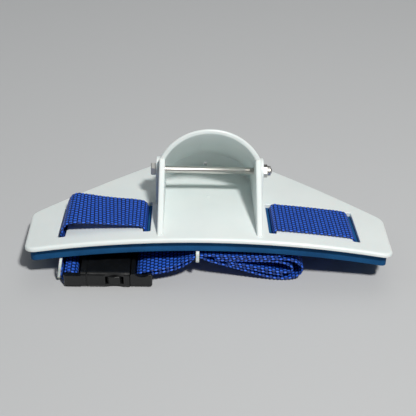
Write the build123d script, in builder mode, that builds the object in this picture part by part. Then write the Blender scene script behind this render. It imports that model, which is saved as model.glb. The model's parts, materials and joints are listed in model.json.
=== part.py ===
from build123d import *
import os
from math import cos, radians, sin, sqrt

# Stand-up fighting belt: a bent plate with a hooded cup for a rod butt, a foam pad behind it,
# a webbing belt laced through four slots, and a side-release buckle.
# The belt lies on a table: its pad's rear edge, its buckle and its folded strap touch z = 0.
# Millimetres. +X runs along the plate, +Y from the plate's long front edge to its narrow rear
# edge, +Z is up. The origin is under the middle of the whole object.

os.makedirs("parts", exist_ok=True)

# ---------------------------------------------------------------- driving dimensions
PLATE_WIDTH = 250.0
PLATE_DEPTH = 124.5
PLATE_THICKNESS = 3.0
BEND_RADIUS = 735.0
FRONT_HALF = 122.6          # half-width at the front edge
EAR_Y = 52.8                # the plate is widest here
REAR_HALF = 36.0
OUTLINE_RADII = [8, 10, 12, 12, 10, 8]
FRONT_ROUND = 1.9           # rounding of the plate's front edge, all the way round
BACK_ROUND = 0.6

SLOT_WIDTH = 5.0
SLOT_LENGTH = 43.0
SLOT_CORNER = 1.2
SLOT_ROUND = 0.5
SLOT_Y = 33.25
INNER_SLOT_X = 42.25
OUTER_SLOT_X = 99.15

CUP_HALF = 35.1             # outside, below the arch
CUP_WALL = 4.0
CUP_FRONT_Y = 5.7           # the side walls rise from here
RIM_Y = 49.2
SPRING_Z = 35.1             # the arch springs from the walls here
CUP_TOP_Z = 58.0
ROOF_FALL = 34.0            # degrees
CUP_END_Y = 113.5
RIM_ROUND = 1.2
OUTER_CREST_ROUND = 10.0    # where the roof meets the rear wall
INNER_CREST_ROUND = 8.0
CHEEK_LAP = 12.0            # how far the front walls run in under the arch
CHEEK_DROP = 10.0
CHEEK_TOE = 2.0
CHEEK_FOOT_Z = -8.0

PIN_Y = 60.9
PIN_Z = 21.9
PIN_RADIUS = 2.5
PIN_CLEARANCE = 0.05
BORE_OVERRUN = 1.0
BOSS_RADIUS = 9.0
BOSS_HEIGHT = 2.5
BOSS_ROUND = 0.7
BOSS_SUNK = 2.0             # how far a boss runs down into the plate
HEX_FLATS = 8.0
DRAIN_RADIUS = 1.75
DRAIN_PLACE = (-2.0, 4.8)   # off the middle, and above the plate's front
DRAIN_START = 12.0
DRAIN_CUT = 30.0
GATE_MARK = (-0.6, 63.9)    # the stub left where the mould was filled
GATE_RADIUS = 1.5
GATE_HEIGHT = 0.35
GATE_ROOT = 0.3

PAD_THICKNESS = 8.0
PAD_INSET = 3.5
PAD_SLIT = 2.6
PAD_SLIT_ROOM = 2.0         # a slit is this much longer than the webbing is wide

WEBBING_WIDTH = 38.0
WEBBING_THICKNESS = 1.5

TIP = 12.0                  # the plate lies tipped back by this many degrees
FRONT_Y = -56.2             # row position of the plate's front edge
FRONT_Z = 36.75

# ---------------------------------------------------------------- the shell's own planes
SHELL = Plane(
    origin=(0, FRONT_Y, FRONT_Z),
    x_dir=(1, 0, 0),
    z_dir=(0, sin(radians(TIP)), cos(radians(TIP))),
)
GROUND = Plane(origin=(0, FRONT_Y, 0))
REARWARD = Axis(SHELL.origin, SHELL.y_dir)
REACH = 140.0               # longer than any half of the plate


def station(y, frame=SHELL):
    """Plane across the belt at y behind the front edge, sketched in x and z."""
    origin = frame.from_local_coords((0, y, 0))
    return Plane(origin=origin, x_dir=frame.x_dir, z_dir=-frame.y_dir)


def flank(x, frame=SHELL):
    """Plane along the belt at x, sketched in y and z."""
    origin = frame.from_local_coords((x, 0, 0))
    return Plane(origin=origin, x_dir=frame.y_dir, z_dir=frame.x_dir)


def sag(x, depth=0.0):
    """Height of the surface that lies depth below the plate's front, x from its middle."""
    radius = BEND_RADIUS - depth
    return sqrt(radius * radius - x * x) - BEND_RADIUS


def bent_band(plane, top, bottom):
    """Face between two depths below the plate's front surface."""
    with BuildSketch(plane) as face:
        with BuildLine():
            upper = ThreePointArc(
                (-REACH, sag(REACH, top)), (0, -top), (REACH, sag(REACH, top))
            )
            lower = ThreePointArc(
                (-REACH, sag(REACH, bottom)), (0, -bottom), (REACH, sag(REACH, bottom))
            )
            Line(upper @ 0, lower @ 0)
            Line(upper @ 1, lower @ 1)
        make_face()
    return face.sketch


def outline(plane, inset=0.0):
    """Outline of the plate seen from the front, or of the pad, which is a little smaller."""
    half = PLATE_WIDTH / 2
    corners = [
        (FRONT_HALF, 0), (half, EAR_Y), (REAR_HALF, PLATE_DEPTH),
        (-REAR_HALF, PLATE_DEPTH), (-half, EAR_Y), (-FRONT_HALF, 0),
    ]
    with BuildSketch(plane) as face:
        with BuildLine():
            FilletPolyline(*corners, radius=OUTLINE_RADII, close=True)
        make_face()
        if inset:
            offset(amount=-inset)
    return face.sketch


# ---------------------------------------------------------------- shell: the hood over the cup
ROOF_DIRECTION = SHELL.y_dir * cos(radians(ROOF_FALL)) - SHELL.z_dir * sin(radians(ROOF_FALL))
ROOF_LENGTH = 90.0
REAR_ROUND = 15.0           # how far the rear wall bows out
LEVEL_BELOW = SHELL.offset(-REACH)


def arch(half, top):
    """Arch profile: straight sides under a shallow arc, with its foot well below the plate."""
    with BuildSketch(station(RIM_Y)) as face:
        with BuildLine():
            ThreePointArc((-half, SPRING_Z), (0, top), (half, SPRING_Z))
            Polyline((half, SPRING_Z), (half, -REACH), (-half, -REACH), (-half, SPRING_Z))
        make_face()
    return face.sketch


def hood_plan(half, end):
    """Plan of the hood, with its rounded rear end."""
    with BuildSketch(LEVEL_BELOW) as face:
        with BuildLine():
            ThreePointArc((-half, end - REAR_ROUND), (0, end), (half, end - REAR_ROUND))
            Polyline((half, end - REAR_ROUND), (half, 0), (-half, 0), (-half, end - REAR_ROUND))
        make_face()
    return face.sketch


def cheek(half):
    """Side view of the two low walls in front of the arch."""
    with BuildSketch(flank(-half)) as face:
        Polygon(
            (CUP_FRONT_Y, 0), (RIM_Y, SPRING_Z), (RIM_Y + CHEEK_LAP, SPRING_Z - CHEEK_DROP),
            (RIM_Y + CHEEK_LAP, CHEEK_FOOT_Z), (CUP_FRONT_Y - CHEEK_TOE, CHEEK_FOOT_Z),
            align=None,
        )
    return face.sketch


def hood(inset, floor_depth, rear_fillet):
    """Solid hood: the arch run back along the falling roof, plus the front cheeks."""
    half = CUP_HALF - inset
    with BuildPart() as solid:
        extrude(arch(half, CUP_TOP_Z - inset), amount=ROOF_LENGTH, dir=ROOF_DIRECTION)
        extrude(hood_plan(half, CUP_END_Y - inset), amount=2 * REACH, mode=Mode.INTERSECT)
        crest = solid.edges().filter_by(GeomType.LINE, reverse=True).sort_by(REARWARD)[-1]
        fillet(crest, rear_fillet)
        extrude(cheek(half), amount=2 * half)
        extrude(
            bent_band(station(-REACH), -REACH, floor_depth),
            amount=-3 * REACH, mode=Mode.INTERSECT,
        )
    return solid.part


SLOT_CENTRES = [(side * x, SLOT_Y) for side in (-1, 1) for x in (INNER_SLOT_X, OUTER_SLOT_X)]
BORE_RADIUS = PIN_RADIUS + PIN_CLEARANCE
BOSS_FACE_X = CUP_HALF + BOSS_HEIGHT


def boss_side():
    """Side view of a pin boss: round on top, straight down to the plate."""
    with BuildSketch(flank(-BOSS_FACE_X)) as face:
        with Locations((PIN_Y, PIN_Z)):
            Circle(BOSS_RADIUS)
        with Locations((PIN_Y, (PIN_Z - BOSS_SUNK) / 2)):
            Rectangle(2 * BOSS_RADIUS, PIN_Z + BOSS_SUNK)
    return face.sketch


def pin_circle(radius):
    """Round section of the pin's bore, just outside the left boss."""
    with BuildSketch(flank(-BOSS_FACE_X - BORE_OVERRUN)) as face:
        with Locations((PIN_Y, PIN_Z)):
            Circle(radius)
    return face.sketch


def largest_faces(part):
    """The back and the front of a thin bent plate, back first."""
    return part.faces().sort_by(SortBy.AREA)[-2:].sort_by(Axis.Z)


with BuildPart() as bosses:
    extrude(boss_side(), amount=2 * BOSS_FACE_X)
    fillet(bosses.faces().filter_by(Axis.X).edges(), BOSS_ROUND)

with BuildPart() as gimbal_shell:
    extrude(bent_band(station(0), 0, PLATE_THICKNESS), amount=-PLATE_DEPTH)
    extrude(outline(LEVEL_BELOW), amount=2 * REACH, mode=Mode.INTERSECT)
    fillet(largest_faces(gimbal_shell)[1].edges(), FRONT_ROUND)
    fillet(largest_faces(gimbal_shell)[0].edges(), BACK_ROUND)
    with BuildSketch(LEVEL_BELOW):
        with Locations(*SLOT_CENTRES):
            RectangleRounded(SLOT_WIDTH, SLOT_LENGTH, SLOT_CORNER)
    extrude(amount=2 * REACH, mode=Mode.SUBTRACT)
    slot_rims = largest_faces(gimbal_shell)[1].inner_wires()
    fillet([edge for rim in slot_rims for edge in rim.edges()], SLOT_ROUND)

    add(hood(0, PLATE_THICKNESS / 2, OUTER_CREST_ROUND))
    add(hood(CUP_WALL, 0, INNER_CREST_ROUND), mode=Mode.SUBTRACT)
    arch_rim = gimbal_shell.faces().filter_by(GeomType.PLANE).filter_by(
        lambda face: face.normal_at().dot(SHELL.y_dir) < -0.999
    ).sort_by(SortBy.AREA)[-1]
    cheek_rims = gimbal_shell.faces().filter_by(GeomType.PLANE).filter_by(
        lambda face: abs(face.normal_at().X) < 0.001
        and face.normal_at().dot(SHELL.y_dir) < -0.3
        and face.normal_at().dot(SHELL.z_dir) > 0.3
    )
    long_rims = [
        edge for face in [arch_rim, *cheek_rims] for edge in face.edges()
        if edge.length > 2 * CUP_WALL
    ]
    fillet(long_rims, RIM_ROUND)

    add(bosses.part)
    add(hood(CUP_WALL, 0, INNER_CREST_ROUND), mode=Mode.SUBTRACT)
    extrude(pin_circle(BORE_RADIUS), amount=2 * (BOSS_FACE_X + BORE_OVERRUN), mode=Mode.SUBTRACT)
    with BuildSketch(station(CUP_END_Y - DRAIN_START)):
        with Locations(DRAIN_PLACE):
            Circle(DRAIN_RADIUS)
    extrude(amount=-DRAIN_CUT, mode=Mode.SUBTRACT)
    with BuildSketch(SHELL.offset(-GATE_ROOT)):
        with Locations(GATE_MARK):
            Circle(GATE_RADIUS)
    extrude(amount=GATE_ROOT + GATE_HEIGHT)
gimbal_shell.part.label = "gimbal_shell"
export_step(gimbal_shell.part, "parts/gimbal_shell.step")

# ---------------------------------------------------------------- foam pad
PAD_TOP = PLATE_THICKNESS
PAD_BOTTOM = PLATE_THICKNESS + PAD_THICKNESS
LEFT_INNER_X, LEFT_OUTER_X = -43.4, -98.7       # where the webbing passes the slots
RIGHT_INNER_X, RIGHT_OUTER_X = 43.4, 97.8
SLIT_CENTRES = [(x, SLOT_Y) for x in (LEFT_INNER_X, LEFT_OUTER_X, RIGHT_INNER_X, RIGHT_OUTER_X)]

with BuildPart() as foam_pad:
    extrude(bent_band(station(0), PAD_TOP, PAD_BOTTOM), amount=-PLATE_DEPTH)
    extrude(outline(LEVEL_BELOW, PAD_INSET), amount=2 * REACH, mode=Mode.INTERSECT)
    with BuildSketch(LEVEL_BELOW):
        with Locations(*SLIT_CENTRES):
            Rectangle(PAD_SLIT, WEBBING_WIDTH + PAD_SLIT_ROOM)
    extrude(amount=2 * REACH, mode=Mode.SUBTRACT)
foam_pad.part.label = "foam_pad"
export_step(foam_pad.part, "parts/foam_pad.step")

# ---------------------------------------------------------------- cross pin and its lock nut
HEAD_THICKNESS = 3.5
NUT_THICKNESS = 3.0
COLLAR_LENGTH = 2.2
COLLAR_RADIUS = 3.6
INSERT_RADIUS = 3.1
INSERT_LENGTH = 1.4
COLLAR_LIP = 0.3
BOLT_STANDOUT = 0.9
PIN_END_PLAY = 0.15
HEAD_CHAMFER = 0.5
END_CHAMFER = 0.4
COLLAR_ROUND = 0.5
HEAD_TURN, NUT_TURN = 30.0, 0.0                 # degrees, as the two hexagons came to rest
HEAD_X = -BOSS_FACE_X - PIN_END_PLAY            # underside of the bolt's head
NUT_X = BOSS_FACE_X + PIN_END_PLAY              # bearing face of the nut
COLLAR_END_X = NUT_X + NUT_THICKNESS + COLLAR_LENGTH
INSERT_X = COLLAR_END_X - COLLAR_LIP - INSERT_LENGTH
BOLT_END_X = COLLAR_END_X + BOLT_STANDOUT


def pin_section(x, radius):
    """Round section of the cross pin at x."""
    with BuildSketch(flank(x)) as face:
        with Locations((PIN_Y, PIN_Z)):
            Circle(radius)
    return face.sketch


def pin_hexagon(x, turn):
    """Hexagon of the bolt's head or of the nut at x, turned about the pin."""
    with BuildSketch(flank(x)) as face:
        with Locations((PIN_Y, PIN_Z)):
            RegularPolygon(HEX_FLATS / 2, 6, major_radius=False, rotation=turn)
    return face.sketch


with BuildPart() as pin_bolt:
    extrude(pin_hexagon(HEAD_X, HEAD_TURN), amount=-HEAD_THICKNESS)
    chamfer(pin_bolt.faces().sort_by(Axis.X)[0].edges(), HEAD_CHAMFER)
    extrude(pin_section(HEAD_X, PIN_RADIUS), amount=BOLT_END_X - HEAD_X)
    chamfer(pin_bolt.faces().sort_by(Axis.X)[-1].edges(), END_CHAMFER)
pin_bolt.part.label = "pin_bolt"
export_step(pin_bolt.part, "parts/pin_bolt.step")

with BuildPart() as pin_nut:
    extrude(pin_hexagon(NUT_X, NUT_TURN), amount=NUT_THICKNESS)
    chamfer(pin_nut.faces().sort_by(Axis.X)[-1].edges(), END_CHAMFER)
    extrude(pin_section(NUT_X, COLLAR_RADIUS), amount=COLLAR_END_X - NUT_X)
    fillet(pin_nut.faces().sort_by(Axis.X)[-1].edges(), COLLAR_ROUND)
    extrude(pin_section(NUT_X, PIN_RADIUS), amount=COLLAR_END_X - NUT_X, mode=Mode.SUBTRACT)
    extrude(pin_section(INSERT_X, INSERT_RADIUS), amount=INSERT_LENGTH, mode=Mode.SUBTRACT)
pin_nut.part.label = "pin_nut"
export_step(pin_nut.part, "parts/pin_nut.step")

with BuildPart() as nut_insert:
    extrude(pin_section(INSERT_X, INSERT_RADIUS), amount=INSERT_LENGTH)
    extrude(pin_section(INSERT_X, PIN_RADIUS), amount=INSERT_LENGTH, mode=Mode.SUBTRACT)
nut_insert.part.label = "nut_insert"
export_step(nut_insert.part, "parts/nut_insert.step")

# ---------------------------------------------------------------- webbing laced through the shell
STRAP_FRONT_Y = SLOT_Y - WEBBING_WIDTH / 2
WEBBING_GAP = 0.12
LIFT = WEBBING_THICKNESS / 2 + WEBBING_GAP             # webbing's middle, off the face it lies on
BACK_RUN_Z = -13.15                             # taut run behind the pad
CREST = (-96.0, 4.4)                            # the slack left span is pushed up here
TAIL_X = 46.0                                   # the laced stretch ends here, under the pad


def on_front(x):
    """Middle of webbing that lies on the plate's front."""
    return (x, sag(x) + LIFT)


def under_pad(x):
    """Middle of webbing that lies against the back of the pad."""
    return (x, sag(x, PAD_BOTTOM) - LIFT)


def ribbon(plane, points, radii, close=False, thickness=WEBBING_THICKNESS):
    """Edge view of a strip of webbing along a rounded path."""
    with BuildSketch(plane) as face:
        with BuildLine() as path:
            FilletPolyline(*points, radius=radii, close=close)
        trace(path.edges(), line_width=thickness)
    return face.sketch


LACED_PATH = [
    (LEFT_OUTER_X, -19.0), (LEFT_OUTER_X, -5.0), CREST,
    (LEFT_INNER_X, -0.45), (LEFT_INNER_X, BACK_RUN_Z),
    (RIGHT_INNER_X, BACK_RUN_Z), on_front(RIGHT_INNER_X),
    on_front(60), on_front(78), on_front(RIGHT_OUTER_X),
    (RIGHT_OUTER_X, -18.75), under_pad(84), under_pad(66), under_pad(TAIL_X),
]
LACED_RADII = [6, 2.2, 1.3, 1.3, 1.3, 1.3, 20, 20, 1.3, 1.3, 20, 20]
with BuildPart() as belt_strap:
    extrude(ribbon(station(STRAP_FRONT_Y), LACED_PATH, LACED_RADII), amount=-WEBBING_WIDTH)
belt_strap.part.label = "belt_strap"
export_step(belt_strap.part, "parts/belt_strap.step")

# ---------------------------------------------------------------- folded spare webbing
# Its folds lie close together, so their outer shape is one solid. The tied end is held up
# against the pad, and the folded end rests on the table. Sketched in x and z.
HANK_NEAR_Y, HANK_FAR_Y = 0.6, 38.6
TIE_X = -8.0
HANK_NEAR = [
    (TIE_X, 21.9), (4, 21.4), (24, 20.7), (45, 20.6), (54, 20.4), (60.5, 16.5), (64.2, 11.0),
    (62.5, 5.0), (57.5, 1.0), (54.0, 0), (46.0, 0), (36.8, 2.6), (24.9, 6.9), (11, 11.5),
    (TIE_X, 17.3),
]
HANK_FAR = [
    (TIE_X, 13.6), (4, 13.5), (24, 13.4), (45, 13.0), (54, 11.9), (60.5, 10.4), (63.0, 7.4),
    (61.5, 4.0), (57.5, 0.8), (54.0, 0), (46.0, 0), (36.8, 1.0), (24.9, 3.0), (11, 5.8),
    (TIE_X, 9.3),
]


def slab_between(near_y, near, far_y, far):
    """Solid between an outline at near_y and a like outline at far_y."""
    with BuildPart() as solid:
        for y, outline_points in ((near_y, near), (far_y, far)):
            with BuildSketch(station(y, GROUND)):
                Polygon(*outline_points, align=None)
        loft(ruled=True)
    return solid.part


with BuildPart() as strap_hank:
    add(slab_between(HANK_NEAR_Y, HANK_NEAR, HANK_FAR_Y, HANK_FAR))
strap_hank.part.label = "strap_hank"
export_step(strap_hank.part, "parts/strap_hank.step")

# ---------------------------------------------------------------- buckle
# Side-release buckle for the same webbing, lying flat, its socket to the left.
BUCKLE_Y = 14.0
BUCKLE_HALF = 23.0
RAIL_INNER = 19.6                               # inside of the rails beside the webbing
SOCKET_TOP = 12.4
SOCKET_BAR_X = (-97.0, -93.2)
SOCKET_BAR_Z = (3.0, 8.0)
SOCKET_BODY_X = (-85.5, -53.0)
SOCKET_ROUND = 2.4
LUG_Z = (1.2, 10.2)                             # the two lugs that carry the socket's bar
LUG_ROUND = 1.5
BAR_ROOT = 1.5                                  # how far short of the outside a bar ends
SOCKET_WALL = 2.2
CAVITY_HALF = 20.6
CAVITY_START_X = -80.5
WINDOW_X = (-69.3, -57.0)
WINDOW_Z = (2.8, 9.6)
THUMB_X = -75.5
THUMB_DEPTH = 0.7
THUMB_LENGTH, THUMB_WIDTH, THUMB_CORNER = 9.0, 22.0, 4.0
WAIST_X = -63.0                                 # the sides are hollowed beside the catches
WAIST_RADIUS = 18.0
WAIST_DEPTH = 1.5
GROOVE_X = -81.6
GROOVE_WIDTH = 1.0
GROOVE_DEPTH = 0.8
PLUG_BASE_X = (-52.6, -49.6)
PLUG_END_X = -38.0
PLUG_HALF = 22.4
PLUG_Z = (1.2, 11.2)
PLUG_BAR_HALF = 21.4
PLUG_ROUND = 0.8
POST_ROUND = 1.3
TONGUE_ROUND = 2.0
SADDLE_X = -44.8                                # the plug's rails dip here for the fingers
SADDLE_RADIUS = 6.5
SADDLE_DEPTH = 1.8
MIDDLE_BAR_X = (-46.6, -43.8)
MIDDLE_BAR_Z = (4.0, 7.6)
END_BAR_X = (-40.4, PLUG_END_X)
END_BAR_Z = (1.2, 5.4)
TONGUE_X = (-79.0, PLUG_BASE_X[0])
TONGUE_HALF = 4.5
TONGUE_Z = (3.4, 9.0)
PRONG_Z = (3.0, 9.4)
HINGE_X = -54.4
HINGE_OFFSET = 14.3
KNUCKLE_RADIUS = 1.6
CATCH_ROUND = 0.8
ARM_ROUND = 0.4


def block(x_range, y_half, z_range, y_from=0.0):
    """Box of the buckle, mirrored about its middle, or the two boxes beyond y_from."""
    width = x_range[1] - x_range[0]
    middle = (x_range[0] + x_range[1]) / 2
    with BuildSketch(GROUND.offset(z_range[0])) as face:
        with Locations((middle, BUCKLE_Y)):
            Rectangle(width, 2 * y_half)
            if y_from:
                Rectangle(width, 2 * y_from, mode=Mode.SUBTRACT)
    return extrude(face.sketch, amount=z_range[1] - z_range[0])


with BuildPart() as buckle_socket:
    add(block(SOCKET_BODY_X, BUCKLE_HALF, (0, SOCKET_TOP)))
    fillet(buckle_socket.edges().filter_by(Axis.X), SOCKET_ROUND)
    add(block((SOCKET_BAR_X[0], SOCKET_BODY_X[0]), BUCKLE_HALF, LUG_Z, RAIL_INNER))
    fillet(buckle_socket.edges().filter_by(Axis.Z).sort_by(Axis.X)[:4], LUG_ROUND)
    add(block(SOCKET_BAR_X, BUCKLE_HALF - BAR_ROOT, SOCKET_BAR_Z))
    add(
        block(
            (CAVITY_START_X, SOCKET_BODY_X[1]), CAVITY_HALF,
            (SOCKET_WALL, SOCKET_TOP - SOCKET_WALL),
        ),
        mode=Mode.SUBTRACT,
    )
    add(block(WINDOW_X, BUCKLE_HALF + 1, WINDOW_Z), mode=Mode.SUBTRACT)
    with BuildSketch(GROUND.offset(SOCKET_TOP - THUMB_DEPTH)):
        with Locations((THUMB_X, BUCKLE_Y)):
            RectangleRounded(THUMB_LENGTH, THUMB_WIDTH, THUMB_CORNER)
    extrude(amount=SOCKET_TOP, mode=Mode.SUBTRACT)
    with BuildSketch(GROUND):
        for side in (-1, 1):
            with Locations((WAIST_X, BUCKLE_Y + side * (BUCKLE_HALF + WAIST_RADIUS - WAIST_DEPTH))):
                Circle(WAIST_RADIUS)
    extrude(amount=SOCKET_TOP, mode=Mode.SUBTRACT)
    with BuildSketch(station(BUCKLE_Y - REACH, GROUND)):
        with Locations((GROOVE_X, SOCKET_TOP / 2)):
            Rectangle(GROOVE_WIDTH, SOCKET_TOP)
            Rectangle(GROOVE_WIDTH, SOCKET_TOP - 2 * GROOVE_DEPTH, mode=Mode.SUBTRACT)
    extrude(amount=-2 * REACH, mode=Mode.SUBTRACT)
    for side in (-1, 1):
        with BuildSketch(GROUND):
            with Locations((GROOVE_X, BUCKLE_Y + side * BUCKLE_HALF)):
                Rectangle(GROOVE_WIDTH, 2 * GROOVE_DEPTH)
        extrude(amount=SOCKET_TOP, mode=Mode.SUBTRACT)
buckle_socket.part.label = "buckle_socket"
export_step(buckle_socket.part, "parts/buckle_socket.step")

with BuildPart() as buckle_plug:
    add(block(PLUG_BASE_X, PLUG_HALF, PLUG_Z))
    add(block((PLUG_BASE_X[0], PLUG_END_X), PLUG_HALF, PLUG_Z, RAIL_INNER))
    outer_posts = buckle_plug.edges().filter_by(Axis.Z).sort_by(Axis.X)[-4:]
    fillet(outer_posts, POST_ROUND)
    top_and_bottom = buckle_plug.faces().filter_by(Axis.Z)
    fillet(top_and_bottom.edges(), PLUG_ROUND)
    add(block(MIDDLE_BAR_X, PLUG_BAR_HALF, MIDDLE_BAR_Z))
    add(block(END_BAR_X, PLUG_BAR_HALF, END_BAR_Z))
    add(block(TONGUE_X, TONGUE_HALF, TONGUE_Z))
    fillet(buckle_plug.edges().filter_by(Axis.Z).sort_by(Axis.X)[:2], TONGUE_ROUND)
    with BuildSketch(station(BUCKLE_Y - REACH, GROUND)):
        with Locations((SADDLE_X, PLUG_Z[1] + SADDLE_RADIUS - SADDLE_DEPTH)):
            Circle(SADDLE_RADIUS)
    extrude(amount=-2 * REACH, mode=Mode.SUBTRACT)
buckle_plug.part.label = "buckle_plug"
export_step(buckle_plug.part, "parts/buckle_plug.step")

PRONG_PLAN = [
    (HINGE_X, HINGE_OFFSET - KNUCKLE_RADIUS), (-68.4, 15.8), (-68.9, 17.6), (-68.5, 21.0),
    (-66.2, 22.5), (-63.0, 23.0), (-59.8, 22.4), (-57.9, 20.4),
    (-55.6, HINGE_OFFSET + KNUCKLE_RADIUS), (HINGE_X, HINGE_OFFSET + KNUCKLE_RADIUS),
]


def prong(side):
    """Spring arm with the catch that stands in the socket's window; side is -1 in front."""
    with BuildPart() as arm:
        with BuildSketch(GROUND.offset(PRONG_Z[0])):
            Polygon(*[(x, BUCKLE_Y + side * y) for x, y in PRONG_PLAN], align=None)
            with Locations((HINGE_X, BUCKLE_Y + side * HINGE_OFFSET)):
                Circle(KNUCKLE_RADIUS)
        extrude(amount=PRONG_Z[1] - PRONG_Z[0])
        catch = arm.edges().filter_by(Axis.Z).sort_by(Axis.X)[:7]
        fillet(catch, CATCH_ROUND)
        fillet(arm.faces().filter_by(Axis.Z).edges(), ARM_ROUND)
    return arm.part


with BuildPart() as prong_front:
    add(prong(-1))
prong_front.part.label = "prong_front"
export_step(prong_front.part, "parts/prong_front.step")

with BuildPart() as prong_rear:
    add(prong(1))
prong_rear.part.label = "prong_rear"
export_step(prong_rear.part, "parts/prong_rear.step")

# ---------------------------------------------------------------- webbing at the buckle
STRAP_HALF = WEBBING_WIDTH / 2
WRAP_ROUND = 1.2
LOOP_ROUND = 2.0
PLUG_STRAP_FAR_Y = 35.0
WRAP_PATH = [
    (-37.0, 9.3), (-42.6, 8.0), (-42.6, 2.7), (-48.0, 2.7), (-48.0, 8.9), (-37.0, 12.3),
]
PLUG_STRAP_NEAR = [
    (-37.8, 13.0), (-24, 13.6), (TIE_X - 0.4, 21.7), (TIE_X - 0.4, 17.4), (-22, 10.0), (-37.8, 8.4),
]
PLUG_STRAP_FAR = [
    (-37.8, 12.6), (-24, 12.6), (TIE_X - 0.4, 13.8), (TIE_X - 0.4, 9.6), (-22, 8.6), (-37.8, 8.2),
]
with BuildPart() as plug_strap:
    extrude(
        ribbon(station(BUCKLE_Y - STRAP_HALF, GROUND), WRAP_PATH, WRAP_ROUND), amount=-WEBBING_WIDTH
    )
    add(slab_between(HANK_NEAR_Y, PLUG_STRAP_NEAR, PLUG_STRAP_FAR_Y, PLUG_STRAP_FAR))
plug_strap.part.label = "plug_strap"
export_step(plug_strap.part, "parts/plug_strap.step")

LOOP_PATH = [(-98.5, 1.4), (-89.4, 1.4), (-89.4, 9.4), (-98.5, 9.4)]
with BuildPart() as socket_loop:
    extrude(
        ribbon(station(BUCKLE_Y - STRAP_HALF, GROUND), LOOP_PATH, LOOP_ROUND, close=True),
        amount=-WEBBING_WIDTH,
    )
socket_loop.part.label = "socket_loop"
export_step(socket_loop.part, "parts/socket_loop.step")

# ---------------------------------------------------------------- bands
BAND_THICKNESS = 0.8
TIE_WIDTH, TIE_ROUND = 2.4, 1.0
KEEPER_X = -101.6
KEEPER_WIDTH, KEEPER_ROUND = 1.9, 2.0
TIE_PATH = [(2.7, -11.7), (54.0, -11.7), (53.6, -15.0), (45.6, -19.8), (2.7, -19.8)]
with BuildPart() as hank_tie:
    extrude(
        ribbon(
            flank(TIE_X - TIE_WIDTH / 2), TIE_PATH, TIE_ROUND,
            close=True, thickness=BAND_THICKNESS,
        ),
        amount=TIE_WIDTH,
    )
hank_tie.part.label = "hank_tie"
export_step(hank_tie.part, "parts/hank_tie.step")

KEEPER_PATH = [(-3.5, 1.0), (-3.5, 15.0), (1.0, 17.2), (36.0, 9.6), (36.0, 1.0)]
with BuildPart() as keeper_band:
    extrude(
        ribbon(
            flank(KEEPER_X, GROUND), KEEPER_PATH, KEEPER_ROUND,
            close=True, thickness=BAND_THICKNESS,
        ),
        amount=KEEPER_WIDTH,
    )
keeper_band.part.label = "keeper_band"
export_step(keeper_band.part, "parts/keeper_band.step")
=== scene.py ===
import json
import math

import bmesh
import bpy
from mathutils import Matrix, Vector


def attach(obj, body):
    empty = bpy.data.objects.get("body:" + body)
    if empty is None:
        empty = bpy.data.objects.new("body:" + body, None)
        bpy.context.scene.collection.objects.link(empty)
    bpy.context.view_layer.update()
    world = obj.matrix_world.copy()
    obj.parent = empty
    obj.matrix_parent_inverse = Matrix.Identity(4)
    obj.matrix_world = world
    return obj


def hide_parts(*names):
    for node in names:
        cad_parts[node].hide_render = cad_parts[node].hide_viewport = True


# A stand-up fighting belt: a bent plastic plate with a hooded cup for a rod butt, on a foam
# pad, with a laced webbing belt and a side-release buckle. It lies on its back on the floor.
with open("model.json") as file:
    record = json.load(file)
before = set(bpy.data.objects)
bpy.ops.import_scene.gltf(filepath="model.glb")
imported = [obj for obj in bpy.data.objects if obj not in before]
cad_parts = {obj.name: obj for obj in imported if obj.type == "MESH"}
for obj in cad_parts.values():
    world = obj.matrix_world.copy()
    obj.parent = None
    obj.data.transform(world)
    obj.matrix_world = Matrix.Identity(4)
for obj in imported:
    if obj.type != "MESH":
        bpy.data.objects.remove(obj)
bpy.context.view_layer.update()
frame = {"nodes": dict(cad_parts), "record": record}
nodes = frame["nodes"]
record = frame["record"]
MM = 0.001

# ---------------------------------------------------------------- how the belt lies
# The plate is tipped back on its folded strap. Its own frame has x along the plate, y from
# the long front edge to the rear edge and z off the front surface, all in millimetres.
mounts = {mount["name"]: mount for mount in record["mounts"]}
PIN_Y, PIN_Z = 60.9, 21.9   # the cross pin, in the plate's frame
BEND_RADIUS = 735.0
plate_up = -Vector(mounts["waist_face"]["axis"]).normalized()
plate_back = plate_up.cross(Vector((1, 0, 0)))
pin_centre = Vector(mounts["rod_pin"]["pos_m"])
front_edge = pin_centre - (plate_back * PIN_Y + plate_up * PIN_Z) * MM
SHELL = Matrix((
    (1, plate_back.x, plate_up.x, front_edge.x),
    (0, plate_back.y, plate_up.y, front_edge.y),
    (0, plate_back.z, plate_up.z, front_edge.z),
    (0, 0, 0, 1),
)) @ Matrix.Scale(MM, 4)


def on_shell(x, y, z):
    """A point given in the plate's frame, in the row frame."""
    return SHELL @ Vector((x, y, z))


def on_table(x, y, z):
    """A point over the table, y behind the plate's front edge, in the row frame."""
    return Vector((x * MM, front_edge.y + y * MM, z * MM))


# ---------------------------------------------------------------- camera
# A short telephoto, looking down past the front edge into the mouth of the cup.
CAMERA_PLACE = (-16.8, -509.3, 283.6)
AIM = (-0.8, 44.9, 0.0)
CAMERA_ROLL = math.radians(2.2)
FOCAL_LENGTH = 77.0
SENSOR_WIDTH = 36.0

camera_data = bpy.data.cameras.new("camera")
camera_data.lens = FOCAL_LENGTH
camera_data.sensor_width = SENSOR_WIDTH
camera = bpy.data.objects.new("camera", camera_data)
bpy.context.scene.collection.objects.link(camera)
bpy.context.scene.camera = camera
camera.location = on_shell(*CAMERA_PLACE)
sight = (on_shell(*AIM) - camera.location).to_track_quat("-Z", "Y")
camera.rotation_mode = "QUATERNION"
camera.rotation_quaternion = sight @ Matrix.Rotation(CAMERA_ROLL, 3, "Z").to_quaternion()

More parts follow.
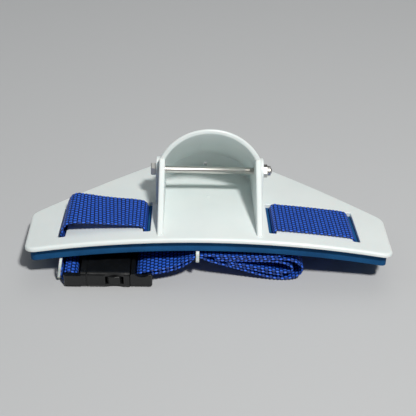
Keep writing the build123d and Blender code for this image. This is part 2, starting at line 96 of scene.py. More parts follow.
# ---------------------------------------------------------------- floor and light
# A pale matt floor, a small key light from the right and in front, a wide cool fill on the left
# and a soft light from behind. The surround is dim, and looks like the floor past its edge.
FLOOR_HALF = 3.0
FLOOR_DROP = 0.0002
FLOOR_COLOUR = (0.50, 0.51, 0.52, 1)
SURROUND_COLOUR = (0.93, 0.96, 1.0, 1)
SURROUND_STRENGTH = 0.07


def made(name, mesh):
    """An object of its own from a finished bmesh."""
    data = bpy.data.meshes.new(name)
    mesh.to_mesh(data)
    mesh.free()
    piece = bpy.data.objects.new(name, data)
    bpy.context.scene.collection.objects.link(piece)
    return piece


floor_mesh = bmesh.new()
bmesh.ops.create_grid(floor_mesh, x_segments=1, y_segments=1, size=FLOOR_HALF)
bmesh.ops.translate(floor_mesh, vec=(0, 0, -FLOOR_DROP), verts=floor_mesh.verts)
floor = made("floor", floor_mesh)
floor_paint = bpy.data.materials.new("floor")
floor_paint.use_nodes = True
floor_shader = floor_paint.node_tree.nodes["Principled BSDF"]
floor_shader.inputs["Base Color"].default_value = FLOOR_COLOUR
floor_shader.inputs["Roughness"].default_value = 0.75
floor.data.materials.append(floor_paint)

LIT_POINT = on_shell(0, 50, 10)


def lamp(name, place, size, power, tint):
    """Square soft light that faces the middle of the belt."""
    light = bpy.data.lights.new(name, "AREA")
    light.size = size
    light.energy = power
    light.color = tint
    stand = bpy.data.objects.new(name, light)
    stand.location = place
    stand.rotation_euler = (LIT_POINT - Vector(place)).to_track_quat("-Z", "Y").to_euler()
    bpy.context.scene.collection.objects.link(stand)


lamp("key", (0.39, -0.7722, 1.4937), 0.16, 27, (1.0, 0.985, 0.96))
lamp("fill", (-1.5, 0.1, 1.5), 1.5, 3.2, (0.88, 0.95, 1.0))
lamp("top", (0.2, 1.0, 1.9), 1.6, 6.5, (0.98, 1.0, 1.0))
world = bpy.data.worlds.new("surround")
world.use_nodes = True
surround = world.node_tree
dim = surround.nodes["Background"]
dim.inputs["Color"].default_value = SURROUND_COLOUR
dim.inputs["Strength"].default_value = SURROUND_STRENGTH
pale = surround.nodes.new("ShaderNodeBackground")
pale.inputs["Color"].default_value = FLOOR_COLOUR
seen = surround.nodes.new("ShaderNodeLightPath").outputs["Is Camera Ray"]
choice = surround.nodes.new("ShaderNodeMixShader")
surround.links.new(seen, choice.inputs["Fac"])
surround.links.new(dim.outputs["Background"], choice.inputs[1])
surround.links.new(pale.outputs["Background"], choice.inputs[2])
surround.links.new(choice.outputs["Shader"], surround.nodes["World Output"].inputs["Surface"])
bpy.context.scene.world = world
bpy.context.scene.view_settings.view_transform = "Standard"

# ---------------------------------------------------------------- moulded shell
# One injection moulding in white polypropylene: plate, cup, pin bosses and slots together.
# Its skin is a fine orange peel with a few dull rub marks, and it goes faintly blue at depth.
def new_material(name):
    """A material with its shader, ready for nodes."""
    material = bpy.data.materials.new(name)
    material.use_nodes = True
    return material, material.node_tree, material.node_tree.nodes["Principled BSDF"]


def put(tree, kind, **settings):
    """A node with its settings; a value for a socket is given as its name with _ for spaces."""
    node = tree.nodes.new(kind)
    for key, value in settings.items():
        if hasattr(node, key):
            setattr(node, key, value)
        else:
            node.inputs[key.replace("_", " ")].default_value = value
    return node


def ramp(tree, factor, stops):
    """Colour ramp fed by a socket."""
    node = tree.nodes.new("ShaderNodeValToRGB")
    band = node.color_ramp
    band.elements[0].position, band.elements[0].color = stops[0][0], (*stops[0][1], 1)
    band.elements[1].position, band.elements[1].color = stops[-1][0], (*stops[-1][1], 1)
    for place, colour in stops[1:-1]:
        band.elements.new(place).color = (*colour, 1)
    tree.links.new(factor, node.inputs["Fac"])
    return node.outputs["Color"]


def remap(tree, factor, low, high, start=0.0, end=1.0):
    """A value from start to end turned into one from low to high."""
    node = put(tree, "ShaderNodeMapRange")
    node.inputs["From Min"].default_value = start
    node.inputs["From Max"].default_value = end
    node.inputs["To Min"].default_value = low
    node.inputs["To Max"].default_value = high
    tree.links.new(factor, node.inputs["Value"])
    return node.outputs["Result"]


PEEL_SCALE = 900.0
PEEL_DEPTH = 0.00002
RUB_SCALE = 60.0


def moulded_skin_group():
    """Orange peel and rub marks of moulded plastic, for every plastic piece."""
    group = bpy.data.node_groups.new("moulded_skin", "ShaderNodeTree")
    face = group.interface
    for name, value in (("Peel Depth", PEEL_DEPTH), ("Rub Scale", RUB_SCALE)):
        face.new_socket(name, in_out="INPUT", socket_type="NodeSocketFloat").default_value = value
    face.new_socket("Cloud", in_out="OUTPUT", socket_type="NodeSocketFloat")
    face.new_socket("Rub", in_out="OUTPUT", socket_type="NodeSocketFloat")
    face.new_socket("Normal", in_out="OUTPUT", socket_type="NodeSocketVector")
    inside, outside = put(group, "NodeGroupInput"), put(group, "NodeGroupOutput")
    where = put(group, "ShaderNodeTexCoord").outputs["Object"]
    peel = put(group, "ShaderNodeTexNoise", Scale=PEEL_SCALE, Detail=3.0, Roughness=0.6)
    cloud = put(group, "ShaderNodeTexNoise", Detail=2.0, Scale=22.0)
    rub = put(group, "ShaderNodeTexNoise", Detail=8.0, Roughness=0.75, Distortion=1.2)
    for node in (peel, cloud, rub):
        group.links.new(where, node.inputs["Vector"])
    group.links.new(inside.outputs["Rub Scale"], rub.inputs["Scale"])
    bump = put(group, "ShaderNodeBump", Strength=1.0)
    group.links.new(inside.outputs["Peel Depth"], bump.inputs["Distance"])
    group.links.new(peel.outputs["Fac"], bump.inputs["Height"])
    group.links.new(cloud.outputs["Fac"], outside.inputs["Cloud"])
    group.links.new(remap(group, rub.outputs["Fac"], 0, 1, 0.52, 0.72), outside.inputs["Rub"])
    group.links.new(bump.outputs["Normal"], outside.inputs["Normal"])
    return group


MOULDED_SKIN = moulded_skin_group()


def moulded(name, dark, light, dull, glossy, depth=PEEL_DEPTH, rub_scale=RUB_SCALE, lift=0.06):
    """Moulded plastic: two near tones in clouds, and rub marks, paler by lift and duller."""
    material, tree, shader = new_material(name)
    skin = put(tree, "ShaderNodeGroup", node_tree=MOULDED_SKIN)
    skin.inputs["Peel Depth"].default_value = depth
    skin.inputs["Rub Scale"].default_value = rub_scale
    tone = ramp(tree, skin.outputs["Cloud"], [(0.35, dark), (0.65, light)])
    rubbed = put(tree, "ShaderNodeMix", data_type="RGBA")
    scuff = [part + 2 * lift * (1.0 - part) for part in light]
    rubbed.inputs["B"].default_value = (*scuff, 1)
    tree.links.new(remap(tree, skin.outputs["Rub"], 0, 0.5), rubbed.inputs["Factor"])
    tree.links.new(tone, rubbed.inputs["A"])
    tree.links.new(rubbed.outputs["Result"], shader.inputs["Base Color"])
    gloss = remap(tree, skin.outputs["Rub"], glossy, dull)
    tree.links.new(gloss, shader.inputs["Roughness"])
    tree.links.new(skin.outputs["Normal"], shader.inputs["Normal"])
    return material, shader


def paint(node_name, material):
    """Give a CAD node its finish."""
    node = nodes[node_name]
    node.data.materials.clear()
    node.data.materials.append(material)


WHITE_PLASTIC, white_shader = moulded(
    "white_plastic", (0.78, 0.845, 0.84), (0.82, 0.875, 0.865), 0.40, 0.33, lift=0.02,
)
white_shader.inputs["Subsurface Weight"].default_value = 0.12
white_shader.inputs["Subsurface Radius"].default_value = (0.6, 0.9, 1.0)
white_shader.inputs["Subsurface Scale"].default_value = 0.003
paint("gimbal_shell", WHITE_PLASTIC)

# ---------------------------------------------------------------- foam pad
# Closed-cell foam, 8 mm thick, cut to the plate's outline with four slits for the webbing
# and glued to the plate's back. Its cut faces are open pores and its edges have softened.
FOAM_SOFTENING = 0.0007
SAME_PLACE = 1e-6
FLAT_ANGLE = math.radians(0.1)
CUT_ANGLE = math.radians(40)
CREASE_ANGLE = math.radians(35)

foam_copy = bmesh.new()
foam_copy.from_mesh(nodes["foam_pad"].data)
bmesh.ops.remove_doubles(foam_copy, verts=foam_copy.verts, dist=SAME_PLACE)
bmesh.ops.dissolve_limit(
    foam_copy, verts=foam_copy.verts, edges=foam_copy.edges, angle_limit=FLAT_ANGLE
)
cut_edges = [
    edge for edge in foam_copy.edges
    if len(edge.link_faces) == 2 and edge.calc_face_angle() > CUT_ANGLE
]
bmesh.ops.bevel(
    foam_copy, geom=cut_edges, affect="EDGES", offset=FOAM_SOFTENING, segments=3, profile=0.5,
    material=-1, clamp_overlap=True,
)
for face in foam_copy.faces:
    face.smooth = True
waist_foam = made("waist_foam", foam_copy)
waist_foam.data.set_sharp_from_angle(angle=CREASE_ANGLE)


def multiplied(tree, first, second, share=1.0):
    """One colour darkened by another."""
    node = put(tree, "ShaderNodeMix", data_type="RGBA", blend_type="MULTIPLY")
    node.inputs["Factor"].default_value = share
    tree.links.new(first, node.inputs["A"])
    tree.links.new(second, node.inputs["B"])
    return node.outputs["Result"]


def bumped(tree, height, strength, distance):
    """The normal of a surface with a pattern of heights on it."""
    node = put(tree, "ShaderNodeBump", Strength=strength, Distance=distance)
    tree.links.new(height, node.inputs["Height"])
    return node.outputs["Normal"]


FOAM, foam_tree, foam_shader = new_material("blue_foam")
foam_where = put(foam_tree, "ShaderNodeTexCoord").outputs["Object"]
pores = put(foam_tree, "ShaderNodeTexVoronoi", Scale=1500.0, feature="F1")
mottle = put(foam_tree, "ShaderNodeTexNoise", Scale=45.0, Detail=3.0)
for node in (pores, mottle):
    foam_tree.links.new(foam_where, node.inputs["Vector"])
foam_tone = ramp(
    foam_tree, mottle.outputs["Fac"], [(0.3, (0.005, 0.062, 0.18)), (0.7, (0.009, 0.095, 0.25))]
)
pore_shade = ramp(foam_tree, pores.outputs["Distance"], [(0.1, (0.62,) * 3), (0.6, (1.0,) * 3)])
pitted = multiplied(foam_tree, foam_tone, pore_shade, 0.55)
foam_tree.links.new(pitted, foam_shader.inputs["Base Color"])
foam_tree.links.new(
    remap(foam_tree, mottle.outputs["Fac"], 0.72, 0.92), foam_shader.inputs["Roughness"]
)
foam_shader.inputs["Specular IOR Level"].default_value = 0.2
pore_normal = bumped(foam_tree, pores.outputs["Distance"], 0.7, 0.00012)
foam_tree.links.new(pore_normal, foam_shader.inputs["Normal"])
waist_foam.data.materials.append(FOAM)
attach(waist_foam, "belt")
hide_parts("foam_pad")

# ---------------------------------------------------------------- laced webbing
# 38 mm nylon webbing in a coarse plain weave. One length starts sewn round the socket's bar,
# laces through the four slots over and under the plate, and runs into the tied hank.
WEB_HALF_THICKNESS = 0.00062
ROW = 0.00262               # from one row of the weave to the next, along the strap
COLUMN = 0.00146            # from one warp yarn to the next, across it
CROWN = 0.00036             # how far a yarn stands off the middle of the cloth
SELVEDGE = 0.00032          # how far the weft's turns bulge at the edges
RIB_SHARPNESS = 0.6         # below one, a rib is broad on top and narrow in its valley
YARN_LEVEL = 0.8            # share of the crown that every yarn has
YARN_SWING = 0.4            # share of it that a yarn gains on top and loses below
CLOTH_LEVEL = 0.55          # share of it that the whole face is sunk by, to stay as thick
SELVEDGE_RISE = 0.6         # share of the bulge that goes up and down, not outwards
MESH_ROW = 0.00066
MESH_COLUMNS = 60
EDGE_STEPS = 3
LINE_STEPS = 16
TANGENT_REACH = 2           # mesh rows on each side that give the strip's direction
TOUCHING = 1e-7
TINY_LENGTH = 1e-9


def line_through(points):
    """A smooth line through the points, as a bezier curve with automatic handles."""
    curve = bpy.data.curves.new("line", "CURVE")
    curve.dimensions = "3D"
    curve.resolution_u = LINE_STEPS
    spline = curve.splines.new("BEZIER")
    spline.bezier_points.add(len(points) - 1)
    for knot, place in zip(spline.bezier_points, points):
        knot.co = place
        knot.handle_left_type = knot.handle_right_type = "AUTO"
    holder = bpy.data.objects.new("line", curve)
    mesh = bpy.data.meshes.new_from_object(holder)
    line = [vertex.co.copy() for vertex in mesh.vertices]
    bpy.data.objects.remove(holder)
    bpy.data.curves.remove(curve)
    bpy.data.meshes.remove(mesh)
    return line


def strip_section(half_width, half_thickness, columns):
    """Points round a strip's flattened section, as across, off, and the outward direction."""
    flat = half_width - half_thickness
    top = [(-flat + 2 * flat * k / columns, half_thickness, 0, 1) for k in range(columns + 1)]
    turn = []
    for k in range(1, EDGE_STEPS):
        angle = math.pi / 2 - math.pi * k / EDGE_STEPS
        turn.append((
            flat + half_thickness * math.cos(angle), half_thickness * math.sin(angle),
            math.cos(angle), math.sin(angle),
        ))
    other = [(-x, -z, -dx, -dz) for x, z, dx, dz in top + turn]
    return top + turn + other


def strip(name, near, far, half_thickness, row, columns, woven=True):
    """Closed strip between two edge lines; a woven one has its yarns' crowns in its faces."""
    near_line, far_line = line_through(near), line_through(far)
    middle = [a.lerp(b, 0.5) for a, b in zip(near_line, far_line)]
    along = [0.0]
    for a, b in zip(middle, middle[1:]):
        along.append(along[-1] + (b - a).length)
    length = along[-1]
    half_width = sum((a - b).length for a, b in zip(near_line, far_line)) / len(along) / 2
    section = strip_section(half_width, half_thickness, columns)
    rows = round(length / row)
    mesh = bmesh.new()
    weave = mesh.loops.layers.uv.new("weave")
    bmesh.ops.create_grid(mesh, x_segments=len(section), y_segments=rows, size=0.5)
    frames = []
    segment = 0
    for k in range(rows + 1):
        at = length * k / rows
        while segment < len(along) - 2 and along[segment + 1] < at:
            segment += 1
        span = max(along[segment + 1] - along[segment], TINY_LENGTH)
        share = min(1.0, (at - along[segment]) / span)
        low = near_line[segment].lerp(near_line[segment + 1], share)
        high = far_line[segment].lerp(far_line[segment + 1], share)
        frames.append((at, low, high))
    ordered = []
    for k, (at, low, high) in enumerate(frames):
        before = frames[max(k - TANGENT_REACH, 0)]
        after = frames[min(k + TANGENT_REACH, rows)]
        across = (high - low).normalized()
        forward = ((after[1] + after[2]) - (before[1] + before[2])).normalized()
        off = across.cross(forward).normalized()
        ordered.append((at, (low + high) / 2, across, off))

    def section_at(vertex):
        """The section's point that a vertex of the flat grid is wrapped onto."""
        return section[round((vertex.co.x + 0.5) * len(section)) % len(section)]

    for face in mesh.faces:
        for loop in face.loops:
            x, _, _, dz = section_at(loop.vert)
            # The back of the cloth shows each yarn where the front hides it.
            yarn_across = x / COLUMN + (1.0 if dz < 0 else 0.0)
            loop[weave].uv = (yarn_across, (loop.vert.co.y + 0.5) * length / ROW)
    for vertex in mesh.verts:
        at, centre, across, off = ordered[round((vertex.co.y + 0.5) * rows)]
        x, z, dx, dz = section_at(vertex)
        lift, bulge = 0.0, 0.0
        if woven:
            fade = min(1.0, (half_width - abs(x)) / (2 * COLUMN))
            rib = math.cos(math.pi * at / ROW)
            yarn = math.cos(math.pi * x / COLUMN) * math.copysign(1.0, rib * dz)
            crown = abs(rib) ** RIB_SHARPNESS * (YARN_LEVEL + YARN_SWING * yarn) - CLOTH_LEVEL
            lift = CROWN * fade * crown
            bulge = SELVEDGE * math.cos(2 * math.pi * at / ROW) * (1 - fade)
        rise = z + lift * dz + bulge * dz * SELVEDGE_RISE
        vertex.co = centre + across * (x + bulge * dx) + off * rise
    bmesh.ops.remove_doubles(mesh, verts=mesh.verts, dist=TOUCHING)
    ends = [edge for edge in mesh.edges if edge.is_boundary]
    bmesh.ops.holes_fill(mesh, edges=ends, sides=0)
    bmesh.ops.recalc_face_normals(mesh, faces=mesh.faces)
    # All but the two flat ends are four-sided.
    for face in mesh.faces:
        face.smooth = len(face.verts) <= 4
    return made(name, mesh), length


def plate_depth(x, depth):
    """Height in the plate's frame of the surface that lies depth below its front."""
    radius = BEND_RADIUS - depth
    return math.sqrt(radius * radius - x * x) - BEND_RADIUS


ON_PLATE = -1.25            # the webbing's middle lies this far above the plate's front
UNDER_PAD = 12.3            # and this far below it where it runs behind the pad
STRAP_NEAR_Y, STRAP_FAR_Y = 14.25, 52.25
BUCKLE_NEAR_Y, BUCKLE_FAR_Y = -5.0, 33.0
HANK_NEAR_Y, HANK_FAR_Y = 0.6, 38.6

# From the sewn end round the socket's bar, then up the left side to the first slit.
SOCKET_TURN = [
    (-96.4, 10.0), (-92.0, 9.9), (-89.2, 8.2), (-88.9, 5.4), (-89.6, 2.6), (-92.4, 1.5),
    (-96.0, 1.6), (-98.3, 3.6),
]
near_edge = [on_table(x, BUCKLE_NEAR_Y, z) for x, z in SOCKET_TURN]
far_edge = [on_table(x, BUCKLE_FAR_Y, z) for x, z in SOCKET_TURN]
near_edge += [on_table(-99.0, -2.5, 7.6), on_table(-99.1, 3.5, 12.2)]
far_edge += [on_table(-98.9, 35.0, 4.5), on_table(-99.1, 41.0, 5.6)]
# Left stretch, bowed up off the plate and leaning forward at its outer end.
NEAR_LEFT = [
    (-98.7, -16.5), (-98.8, -11.0), (-99.3, -6.0), (-97.6, -0.6), (-94.0, 2.0), (-84.0, 2.7),
    (-73.1, 2.4), (-59.9, 1.9), (-49.0, 1.4), (-44.8, 0.2), (-43.3, -3.0), (-43.3, -9.5),
]
FAR_LEFT = [
    (-98.7, -16.5), (-98.7, -11.0), (-98.7, -5.0), (-97.6, 1.6), (-94.2, 5.6), (-86.0, 5.6),
    (-76.8, 4.3), (-62.8, 2.8), (-49.4, 1.7), (-45.0, 0.4), (-43.3, -3.0), (-43.3, -9.5),
]
# Straight across the pad's back, then up and along the plate on the right.
ACROSS_BACK = [(-42.4, -12.6), (-38.0, -13.4), (0.0, -13.6), (38.0, -13.4), (42.4, -12.6)]
RIGHT_SIDE = [(43.4, -9.5), (43.2, -3.6), (44.9, -0.3)] + [
    (x, plate_depth(x, ON_PLATE)) for x in (50, 60, 72, 84, 92)
] + [(96.6, -5.8), (98.2, -8.6), (97.9, -13.0), (97.6, -17.0), (95.6, -18.6)] + [
    (x, plate_depth(x, UNDER_PAD)) for x in (90, 80, 70)
]
near_edge += [on_shell(x, STRAP_NEAR_Y, z) for x, z in NEAR_LEFT + ACROSS_BACK + RIGHT_SIDE]
far_edge += [on_shell(x, STRAP_FAR_Y, z) for x, z in FAR_LEFT + ACROSS_BACK + RIGHT_SIDE]
# Forward and down into the top run of the hank, as far as the tie.
TOP_RUN = [(56, 4.6, 20.9, 42.6, 12.3), (45, 1.4, 20.5, 39.4, 12.3), (31, 0.6, 20.4, 38.6, 12.5),
           (16, 0.6, 20.5, 38.6, 12.8), (4, 0.6, 20.8, 38.6, 12.9), (-8.4, 0.6, 21.0, 38.6, 12.9)]
near_edge += [on_table(x, y, z) for x, y, z, _, _ in TOP_RUN]
far_edge += [on_table(x, y, z) for x, _, _, y, z in TOP_RUN]
laced_webbing, LACED_LENGTH = strip(
    "laced_webbing", near_edge, far_edge, WEB_HALF_THICKNESS, MESH_ROW, MESH_COLUMNS
)

WEBBING, web_tree, web_shader = new_material("blue_webbing")
web_place = put(web_tree, "ShaderNodeUVMap", uv_map="weave").outputs["UV"]
split = put(web_tree, "ShaderNodeSeparateXYZ")
web_tree.links.new(web_place, split.inputs["Vector"])
filament = put(web_tree, "ShaderNodeTexNoise", Scale=1.0, Detail=4.0, Roughness=0.7)
stretch = put(web_tree, "ShaderNodeMapping")
stretch.inputs["Scale"].default_value = (9.0, 0.8, 1.0)
web_tree.links.new(web_place, stretch.inputs["Vector"])
web_tree.links.new(stretch.outputs["Vector"], filament.inputs["Vector"])
fade_place = put(web_tree, "ShaderNodeTexCoord").outputs["Object"]
fading = put(web_tree, "ShaderNodeTexNoise", Scale=70.0, Detail=3.0)
web_tree.links.new(fade_place, fading.inputs["Vector"])
yarn_tone = ramp(
    web_tree, filament.outputs["Fac"],
    [(0.25, (0.004, 0.050, 0.45)), (0.5, (0.020, 0.135, 0.80)), (0.75, (0.16, 0.35, 1.0))],
)
waves = []
for axis in ("X", "Y"):
    phase = put(web_tree, "ShaderNodeMath", operation="MULTIPLY")
    phase.inputs[1].default_value = math.pi
    wave = put(web_tree, "ShaderNodeMath", operation="COSINE")
    web_tree.links.new(split.outputs[axis], phase.inputs[0])
    web_tree.links.new(phase.outputs["Value"], wave.inputs[0])
    waves.append(wave.outputs["Value"])
crossing = put(web_tree, "ShaderNodeMath", operation="MULTIPLY")
web_tree.links.new(waves[0], crossing.inputs[0])
web_tree.links.new(waves[1], crossing.inputs[1])
rib = put(web_tree, "ShaderNodeMath", operation="ABSOLUTE")
web_tree.links.new(waves[1], rib.inputs[0])
on_top = remap(web_tree, crossing.outputs["Value"], 0.0, 1.0, -1.0, 1.0)
# Painted highlight on the yarns that lie on top at each crossing and painted shade on those that
# dip under, in step with the mesh's crowns.
painted_crown_light = ramp(
    web_tree, on_top,
    [(0.1, (0.22,) * 3), (0.45, (0.26,) * 3), (0.62, (0.85,) * 3), (0.8, (1.0,) * 3)],
)
# Painted shade in the valleys between the rows of the weave, darkest where the rib height is
# lowest.
painted_valley_shade = ramp(web_tree, rib.outputs["Value"], [(0.15, (0.06,) * 3), (0.6, (1.0,) * 3)])
worn = put(web_tree, "ShaderNodeMix", data_type="RGBA")
worn.inputs["B"].default_value = (0.03, 0.11, 0.62, 1)
web_tree.links.new(
    remap(web_tree, fading.outputs["Fac"], 0, 0.35, 0.45, 0.75), worn.inputs["Factor"]
)
web_tree.links.new(yarn_tone, worn.inputs["A"])
# The yarn tones darkened by the painted crown light and then by the painted valley shade make the
# base colour.
painted_crown_tone = multiplied(web_tree, worn.outputs["Result"], painted_crown_light)
web_tree.links.new(multiplied(web_tree, painted_crown_tone, painted_valley_shade), web_shader.inputs["Base Color"])
web_tree.links.new(
    remap(web_tree, filament.outputs["Fac"], 0.34, 0.56), web_shader.inputs["Roughness"]
)
web_shader.inputs["Specular IOR Level"].default_value = 0.28
web_shader.inputs["Sheen Weight"].default_value = 0.02
web_shader.inputs["Sheen Tint"].default_value = (0.45, 0.55, 1.0, 1)
yarn_normal = bumped(web_tree, filament.outputs["Fac"], 0.8, 0.00009)
web_tree.links.new(yarn_normal, web_shader.inputs["Normal"])
laced_webbing.data.materials.append(WEBBING)
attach(laced_webbing, "belt")
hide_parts("belt_strap", "socket_loop")

# ---------------------------------------------------------------- spare webbing
# The same webbing past the tie: out to the plug, round its middle bar and back, then folded
# to and fro in loose bights that hang from the tie and rest on the floor.
SPARE_RUN = [
    # x, height of the near edge, height of the far edge
    (-7.8, 21.0, 12.9), (-15, 17.6, 11.9), (-24, 13.6, 12.1), (-31, 12.6, 12.3),
    (-37, 12.3, 12.3), (-43, 10.9, 10.9), (-47.0, 8.8, 8.8), (-48.1, 5.8, 5.8),
    (-47.3, 3.4, 3.4), (-45.2, 2.5, 2.5), (-43.1, 3.5, 3.5), (-42.4, 6.0, 6.0),
    (-41.0, 8.2, 8.2), (-37, 9.3, 9.3), (-30, 9.9, 9.2), (-22, 11.4, 9.1), (-15, 14.6, 9.6),
    (-8, 19.2, 11.2),
    (0.9, 15.9, 8.9), (11, 12.6, 6.5), (24.9, 8.0, 3.8), (36.8, 3.9, 1.7), (46, 1.7, 1.25),
    (52, 1.45, 1.25), (57.4, 2.7, 1.9), (61.8, 5.8, 4.2), (63.2, 11.0, 7.0), (59.8, 15.5, 9.2),
    (54, 18.3, 10.4), (45, 18.7, 10.7), (31, 18.6, 11.0), (16, 18.6, 11.4), (7, 18.6, 11.5),
    (3.9, 17.8, 10.8), (7, 17.0, 10.1), (16, 16.9, 10.0), (31, 16.9, 9.5), (42, 16.7, 9.1),
    (50, 15.5, 8.6), (55.2, 12.6, 7.6), (56.6, 9.8, 6.6), (54.6, 7.6, 5.7), (50, 7.1, 5.5),
    (36.2, 10.1, 6.9), (24, 12.8, 8.1), (17, 14.2, 8.6), (13.4, 14.6, 8.4), (12.2, 13.9, 7.8),
    (13.6, 13.2, 7.3), (17.8, 12.3, 7.0), (24.9, 10.6, 6.2), (36.2, 7.6, 4.4), (46, 5.3, 3.3),
    (50.5, 4.6, 3.0),
]
PLUG_X, TIE_X = -37.0, -8.0


def sideways_shift(x):
    """How far the strap has moved over, from the hank's place to the plug's."""
    share = min(1.0, max(0.0, (TIE_X - x) / (TIE_X - PLUG_X)))
    return share * (BUCKLE_NEAR_Y - HANK_NEAR_Y)


near_edge = [on_table(x, HANK_NEAR_Y + sideways_shift(x), z) for x, z, _ in SPARE_RUN]
far_edge = [on_table(x, HANK_FAR_Y + sideways_shift(x), z) for x, _, z in SPARE_RUN]
spare_webbing, SPARE_LENGTH = strip(
    "spare_webbing", near_edge, far_edge, WEB_HALF_THICKNESS, MESH_ROW, MESH_COLUMNS
)
spare_webbing.data.materials.append(WEBBING)
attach(spare_webbing, "belt")
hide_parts("strap_hank", "plug_strap")

# ---------------------------------------------------------------- sewn end
# Two rows of bar tacks in blue thread close the webbing's end over the socket's bar. Each
# stitch is a short bead of thread that stands a little off the cloth.
STITCH_LENGTH = 0.0021
STITCH_RADIUS = 0.00032
STITCH_GAP = 0.0026
STITCH_ROWS_X = (-94.9, -93.2)
STITCH_HEIGHT = 10.85
STITCH_MARGIN = 2.0         # no stitches this near the webbing's edges

stitching = bmesh.new()
stitch_count = int((BUCKLE_FAR_Y - BUCKLE_NEAR_Y - 2 * STITCH_MARGIN) * MM / STITCH_GAP)
for row_x in STITCH_ROWS_X:
    for k in range(stitch_count):
        bead = bmesh.ops.create_uvsphere(
            stitching, u_segments=6, v_segments=4, radius=STITCH_RADIUS,
            matrix=Matrix.Rotation(math.pi / 2, 4, "X"),
        )["verts"]
        bmesh.ops.scale(stitching, verts=bead, vec=(1, STITCH_LENGTH / STITCH_RADIUS / 2, 1))
        stitch_y = BUCKLE_NEAR_Y + STITCH_MARGIN + (k + 0.5) * STITCH_GAP / MM
        place = on_table(row_x, stitch_y, STITCH_HEIGHT)
        bmesh.ops.translate(stitching, verts=bead, vec=place)
for face in stitching.faces:
    face.smooth = True
bar_tacks = made("bar_tacks", stitching)
THREAD, thread_tree, thread_shader = new_material("blue_thread")
twist = put(thread_tree, "ShaderNodeTexWave", Scale=1400.0, Distortion=1.0)
twist_place = put(thread_tree, "ShaderNodeTexCoord").outputs["Object"]
thread_tree.links.new(twist_place, twist.inputs["Vector"])
twist_tone = ramp(
    thread_tree, twist.outputs["Fac"], [(0.2, (0.006, 0.03, 0.22)), (0.8, (0.03, 0.10, 0.55))]
)
thread_tree.links.new(twist_tone, thread_shader.inputs["Base Color"])
thread_tree.links.new(
    remap(thread_tree, twist.outputs["Fac"], 0.45, 0.65), thread_shader.inputs["Roughness"]
)
bar_tacks.data.materials.append(THREAD)
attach(bar_tacks, "belt")

# ---------------------------------------------------------------- tie and keeper
# Two narrow bands of milky elastic: one holds the hank up to the pad's back, and one stands
# as an open loop round the webbing at the socket, to take the strap's free end.
BAND_HALF_THICKNESS = 0.0004
BAND_ROW = 0.001
BAND_COLUMNS = 6
TIE_EDGES_X = (-9.2, -6.8)
KEEPER_EDGES_X = (-102.3, -100.4)
KEEPER_LEAN = 0.14
ELASTIC, elastic_shader = moulded(
    "white_band", (0.66, 0.73, 0.71), (0.76, 0.81, 0.79), 0.6, 0.42, depth=0.00003
)
elastic_shader.inputs["Subsurface Weight"].default_value = 0.2
elastic_shader.inputs["Subsurface Scale"].default_value = 0.002
TIE_LOOP = [
    (20.0, -11.8), (46.0, -11.8), (53.2, -12.3), (54.0, -14.0), (52.4, -16.4), (46.0, -19.6),
    (30.0, -19.9), (8.0, -19.9), (3.2, -19.2), (2.6, -16.0), (3.2, -12.4), (10.0, -11.8),
    (20.5, -11.8),
]
KEEPER_LOOP = [
    (14.0, 14.3), (33.0, 10.3), (36.0, 7.6), (36.0, 3.4), (33.6, 1.3), (30.0, 1.0), (16.0, 0.9),
    (2.6, 1.0), (-1.0, 1.4), (-3.6, 3.8), (-3.7, 8.0), (-3.4, 13.6), (-0.6, 16.8), (4.0, 16.5),
    (14.5, 14.2),
]


def elastic_band(name, near, far, node):
    """A closed narrow band between its two edges."""
    band, _ = strip(
        name, near, far, BAND_HALF_THICKNESS, BAND_ROW, BAND_COLUMNS, woven=False
    )
    band.data.materials.append(ELASTIC)
    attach(band, "belt")
    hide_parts(node)


tie_near, tie_far = [
    [on_shell(x, y, z) for y, z in TIE_LOOP] for x in TIE_EDGES_X
]
elastic_band("hank_band", tie_near, tie_far, "hank_tie")
keeper_near, keeper_far = [
    [on_table(x + KEEPER_LEAN * z, y, z) for y, z in KEEPER_LOOP] for x in KEEPER_EDGES_X
]
elastic_band("keeper_loop", keeper_near, keeper_far, "keeper_band")

# ---------------------------------------------------------------- cross pin
# Stainless M5 screw through both bosses: turned shank, rolled thread at the nut's end, and a
# hexagon head. A lock nut with a nylon ring in its collar keeps it from working loose.
SHANK_RADIUS = 0.0025
THREAD_PITCH = 0.0008
THREAD_DEPTH = 0.00038
THREAD_START = 0.0245
THREAD_END = 0.0438
THREAD_STEP = 0.0003        # from the plain shank down to the thread's root
THREAD_TIP = 0.0004         # the chamfer at the pin's end
# One thread's ridge: how far along the pitch, and how far off the shank's surface.
THREAD_RIDGE = [
    (0.0, -THREAD_DEPTH), (0.34, -0.00004), (0.46, 0.0), (0.58, -0.00004), (0.92, -THREAD_DEPTH),
]
HEAD_FACE_X = -0.03775
HEAD_HEIGHT = 0.0035
HEAD_CORNER = 0.0046
HEAD_ROUND = 0.0006
WASHER_FACE = 0.0003        # height of the round face under the head
WASHER_RADIUS = 0.84 * HEAD_CORNER
TURN_STEPS = 32


def pin_frame(x, radius, angle=0.0):
    """A point at a radius from the pin's centre line."""
    across = plate_back * math.sin(angle) + plate_up * math.cos(angle)
    return Vector((x, pin_centre.y, pin_centre.z)) + across * radius


def turned(mesh, profile):
    """Spin an edge line once round the pin's centre line."""
    made = [mesh.verts.new(pin_frame(x, radius)) for x, radius in profile]
    lines = [mesh.edges.new(pair) for pair in zip(made, made[1:])]
    bmesh.ops.spin(
        mesh, geom=made + lines, cent=pin_centre, axis=(1, 0, 0), dvec=(0, 0, 0),
        angle=2 * math.pi, steps=TURN_STEPS, use_merge=True,
    )


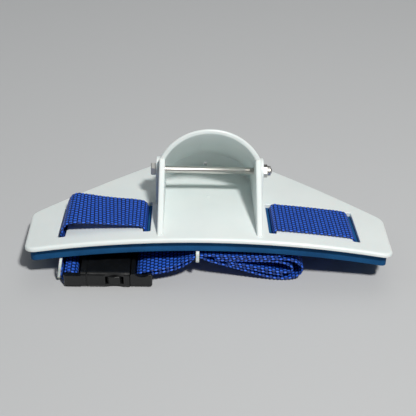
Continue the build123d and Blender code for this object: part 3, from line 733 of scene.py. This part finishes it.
pin_mesh = bmesh.new()
turned(pin_mesh, [
    (HEAD_FACE_X, SHANK_RADIUS), (THREAD_START, SHANK_RADIUS),
    (THREAD_START + THREAD_STEP, SHANK_RADIUS - THREAD_DEPTH),
    (THREAD_END - THREAD_TIP, SHANK_RADIUS - THREAD_DEPTH),
    (THREAD_END, SHANK_RADIUS - 2 * THREAD_DEPTH), (THREAD_END, 0.0),
])
turned(pin_mesh, [
    (HEAD_FACE_X, 0.0), (HEAD_FACE_X, WASHER_RADIUS), (HEAD_FACE_X - WASHER_FACE, WASHER_RADIUS),
])
ridge_turns = round((THREAD_END - THREAD_START - 2 * THREAD_PITCH) / THREAD_PITCH)
ridge_start = THREAD_START + THREAD_STEP
ridge_verts = [
    pin_mesh.verts.new(pin_frame(ridge_start + THREAD_PITCH * share, SHANK_RADIUS + off))
    for share, off in THREAD_RIDGE
]
ridge_edges = [pin_mesh.edges.new(pair) for pair in zip(ridge_verts, ridge_verts[1:])]
bmesh.ops.spin(
    pin_mesh, geom=ridge_verts + ridge_edges, cent=pin_centre, axis=(1, 0, 0),
    dvec=(THREAD_PITCH / TURN_STEPS, 0, 0), angle=2 * math.pi * ridge_turns,
    steps=TURN_STEPS * ridge_turns, use_merge=False,
)
head_corners = [
    pin_mesh.verts.new(pin_frame(HEAD_FACE_X - WASHER_FACE, HEAD_CORNER, math.radians(60 * k)))
    for k in range(6)
]
head_face = pin_mesh.faces.new(head_corners)
risen = bmesh.ops.extrude_face_region(pin_mesh, geom=[head_face])["geom"]
crown_verts = [part for part in risen if isinstance(part, bmesh.types.BMVert)]
bmesh.ops.translate(pin_mesh, verts=crown_verts, vec=(WASHER_FACE - HEAD_HEIGHT, 0, 0))
crown_edges = [
    edge for edge in pin_mesh.edges
    if all(vertex in crown_verts for vertex in edge.verts)
]
bmesh.ops.bevel(
    pin_mesh, geom=crown_edges, affect="EDGES", offset=HEAD_ROUND, segments=3, profile=0.5,
    material=-1,
)
bmesh.ops.remove_doubles(pin_mesh, verts=pin_mesh.verts, dist=TOUCHING)
bmesh.ops.recalc_face_normals(pin_mesh, faces=pin_mesh.faces)
for face in pin_mesh.faces:
    face.smooth = abs((face.calc_center_median() - pin_centre).x) < abs(HEAD_FACE_X)
turned_pin = made("turned_pin", pin_mesh)


def steel(name, dark, light, drawn):
    """Stainless steel with fine drawing marks along the pin and a little handling haze."""
    material, tree, shader = new_material(name)
    where = put(tree, "ShaderNodeTexCoord").outputs["Object"]
    lay = put(tree, "ShaderNodeMapping")
    lay.inputs["Scale"].default_value = drawn
    tree.links.new(where, lay.inputs["Vector"])
    marks = put(tree, "ShaderNodeTexNoise", Scale=1.0, Detail=5.0, Roughness=0.7)
    haze = put(tree, "ShaderNodeTexNoise", Scale=160.0, Detail=3.0)
    tree.links.new(lay.outputs["Vector"], marks.inputs["Vector"])
    tree.links.new(where, haze.inputs["Vector"])
    tone = ramp(tree, marks.outputs["Fac"], [(0.3, dark), (0.7, light)])
    tree.links.new(tone, shader.inputs["Base Color"])
    tree.links.new(remap(tree, haze.outputs["Fac"], 0.26, 0.50), shader.inputs["Roughness"])
    drawn_normal = bumped(tree, marks.outputs["Fac"], 0.4, 0.00002)
    tree.links.new(drawn_normal, shader.inputs["Normal"])
    shader.inputs["Metallic"].default_value = 1.0
    return material


STAINLESS = steel("stainless_steel", (0.50, 0.49, 0.46), (0.68, 0.67, 0.64), (90, 5000, 5000))
turned_pin.data.materials.append(STAINLESS)
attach(turned_pin, "cross_pin")
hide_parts("pin_bolt")
paint("pin_nut", STAINLESS)
NYLON, _ = moulded("nylon", (0.30, 0.31, 0.29), (0.40, 0.41, 0.38), 0.5, 0.35)
paint("nut_insert", NYLON)

# ---------------------------------------------------------------- buckle
# Side-release buckle moulded in black acetal: socket with a window at each side, a plug with
# three bars, and a spring arm at each side that is pressed to let the plug out.
BLACK_PLASTIC, _ = moulded(
    "black_plastic", (0.0035, 0.004, 0.0045), (0.007, 0.008, 0.009), 0.44, 0.30,
    rub_scale=150.0, lift=0.006,
)
for piece_name in ("buckle_socket", "buckle_plug", "prong_front", "prong_rear"):
    paint(piece_name, BLACK_PLASTIC)
